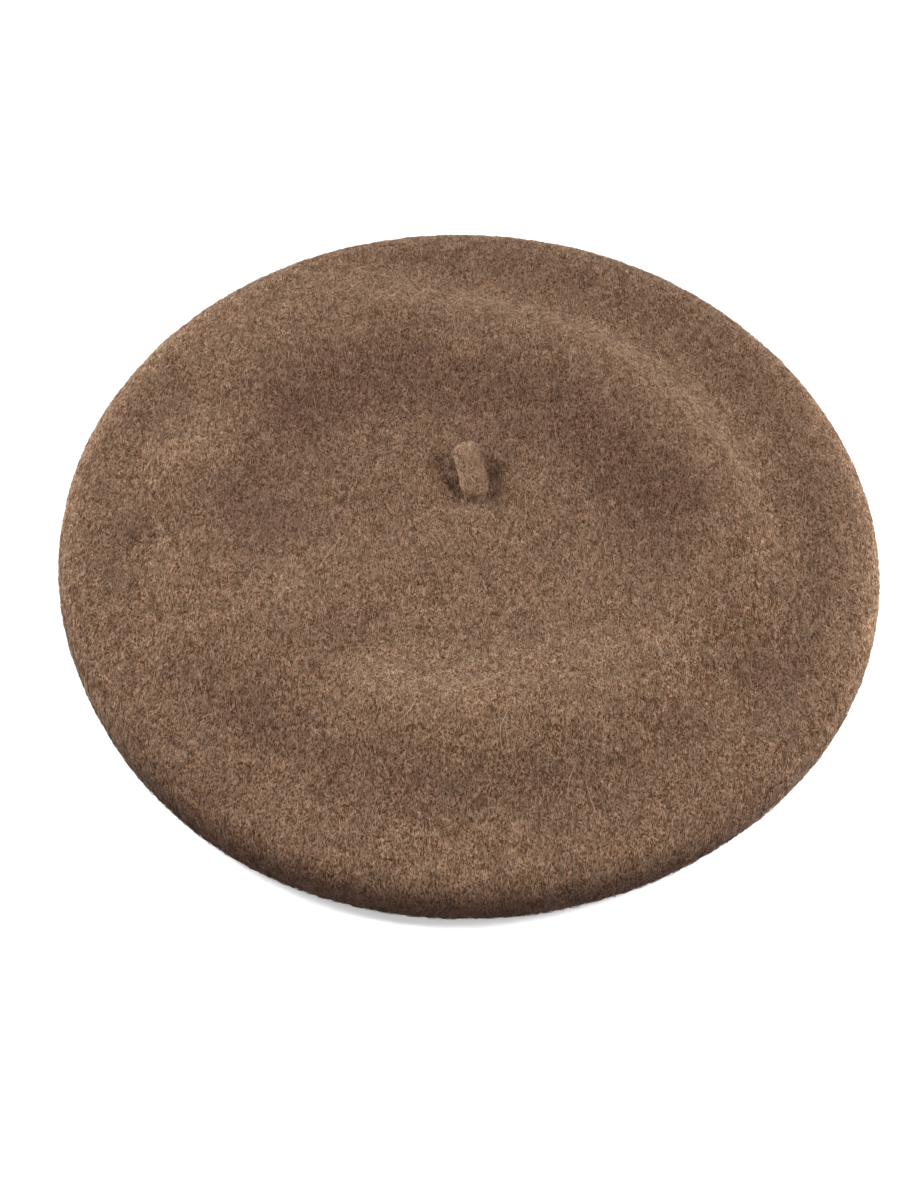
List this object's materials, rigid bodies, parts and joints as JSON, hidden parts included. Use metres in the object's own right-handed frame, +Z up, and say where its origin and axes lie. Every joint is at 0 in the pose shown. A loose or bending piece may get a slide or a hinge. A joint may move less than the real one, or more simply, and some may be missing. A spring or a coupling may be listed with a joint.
{
  "type": "beret",
  "caption": "Round seamless wool felt beret lying flat, with a sunk top, a low ridge round it, a soft rim and a short felt stalk.",
  "frame": {"origin": "the middle of the outline, on the surface that the beret lies on", "axes": "+Z up out of the surface through the top; -Y towards the front edge, +X to its right"},
  "size_m": [0.279, 0.2784, 0.0305],
  "materials": {
    "felt": "brushed brown wool felt, matt, with fine curly fibres",
    "stalk_felt": "denser brown wool felt with a short nap"
  },
  "bodies": {
    "root": {"crown": "felt", "stalk": "stalk_felt"}
  },
  "joints": []
}
